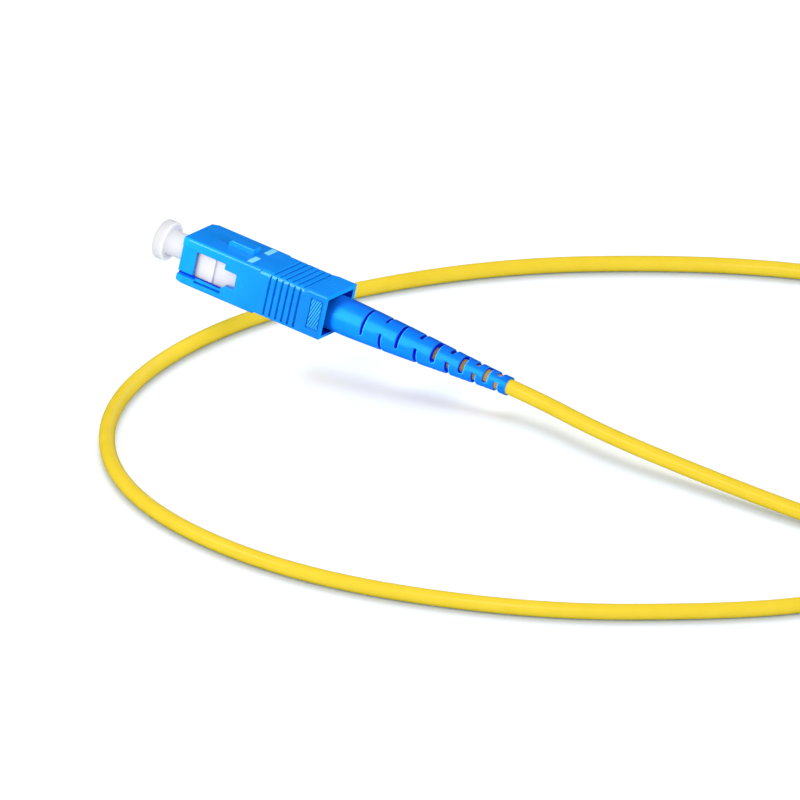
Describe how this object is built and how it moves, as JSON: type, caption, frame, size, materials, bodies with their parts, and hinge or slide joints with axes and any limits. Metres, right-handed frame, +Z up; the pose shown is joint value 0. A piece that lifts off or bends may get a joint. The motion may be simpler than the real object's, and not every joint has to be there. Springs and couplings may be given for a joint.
{
  "type": "fibre optic patch cable",
  "caption": "Simplex fibre optic patch cable with a yellow jacket and a blue square push-pull plug, slotted boot and dust cap on each end.",
  "frame": {"origin": "middle of the two plugs' box on the floor that the cable lies on", "axes": "+Z up from the floor, +Y away from the front run of the cable loop, +X towards the plug that lies flat"},
  "size_m": [0.1504, 0.1271, 0.0167],
  "materials": {
    "housing_blue": "satin moulded",
    "boot_blue": "flexible moulded",
    "frame_white": "moulded",
    "cap_translucent": "translucent moulded",
    "ceramic_white": "polished",
    "nickel": "nickel plated",
    "spring_steel": "drawn wire",
    "crimp_metal": "plain",
    "aramid": "yarn",
    "buffer_white": "extruded",
    "jacket_yellow": "extruded, smooth",
    "tie_black": "hook-and-loop strip"
  },
  "bodies": {
    "cable_assembly": {"plug_frame_a": "frame_white", "ferrule_spring_a": "spring_steel", "backbone_a": "nickel", "aramid_yarn_a": "aramid", "crimp_sleeve_a": "crimp_metal", "buffered_fibre_a": "buffer_white", "boot_a": "boot_blue", "jacket_end_a": "jacket_yellow", "plug_frame_b": "frame_white", "ferrule_spring_b": "spring_steel", "backbone_b": "nickel", "aramid_yarn_b": "aramid", "crimp_sleeve_b": "crimp_metal", "buffered_fibre_b": "buffer_white", "boot_b": "boot_blue", "jacket_end_b": "jacket_yellow", "cable_jacket": "jacket_yellow", "cable_coil": "jacket_yellow", "cable_tail": "jacket_yellow", "coil_tie": "tie_black"},
    "grip_a": {"grip_housing_a": "housing_blue"},
    "ferrule_unit_a": {"ferrule_a": "ceramic_white", "ferrule_flange_a": "nickel"},
    "cap_a": {"dust_cap_a": "cap_translucent"},
    "grip_b": {"grip_housing_b": "housing_blue"},
    "ferrule_unit_b": {"ferrule_b": "ceramic_white", "ferrule_flange_b": "nickel"},
    "cap_b": {"dust_cap_b": "cap_translucent"}
  },
  "joints": [
    {"name": "grip_a_slide", "type": "slide", "parent": "cable_assembly", "child": "grip_a", "axis": [0.8392, -0.5213, -0.1551], "range_m": [0, 0.002]},
    {"name": "ferrule_a_slide", "type": "slide", "parent": "cable_assembly", "child": "ferrule_unit_a", "axis": [0.8392, -0.5213, -0.1551], "range_m": [0, 0.002], "stiffness_N_per_m": 1000, "springref_m": -0.008, "deforming": ["ferrule_spring_a", "buffered_fibre_a"]},
    {"name": "cap_a_slide", "type": "slide", "parent": "ferrule_unit_a", "child": "cap_a", "axis": [-0.8392, 0.5213, 0.1551], "range_m": [0, 0.02]},
    {"name": "grip_b_slide", "type": "slide", "parent": "cable_assembly", "child": "grip_b", "axis": [0, 1, 0], "range_m": [0, 0.002]},
    {"name": "ferrule_b_slide", "type": "slide", "parent": "cable_assembly", "child": "ferrule_unit_b", "axis": [0, 1, 0], "range_m": [0, 0.002], "stiffness_N_per_m": 1000, "springref_m": -0.008, "deforming": ["ferrule_spring_b", "buffered_fibre_b"]},
    {"name": "cap_b_slide", "type": "slide", "parent": "ferrule_unit_b", "child": "cap_b", "axis": [0, -1, 0], "range_m": [0, 0.02]}
  ]
}
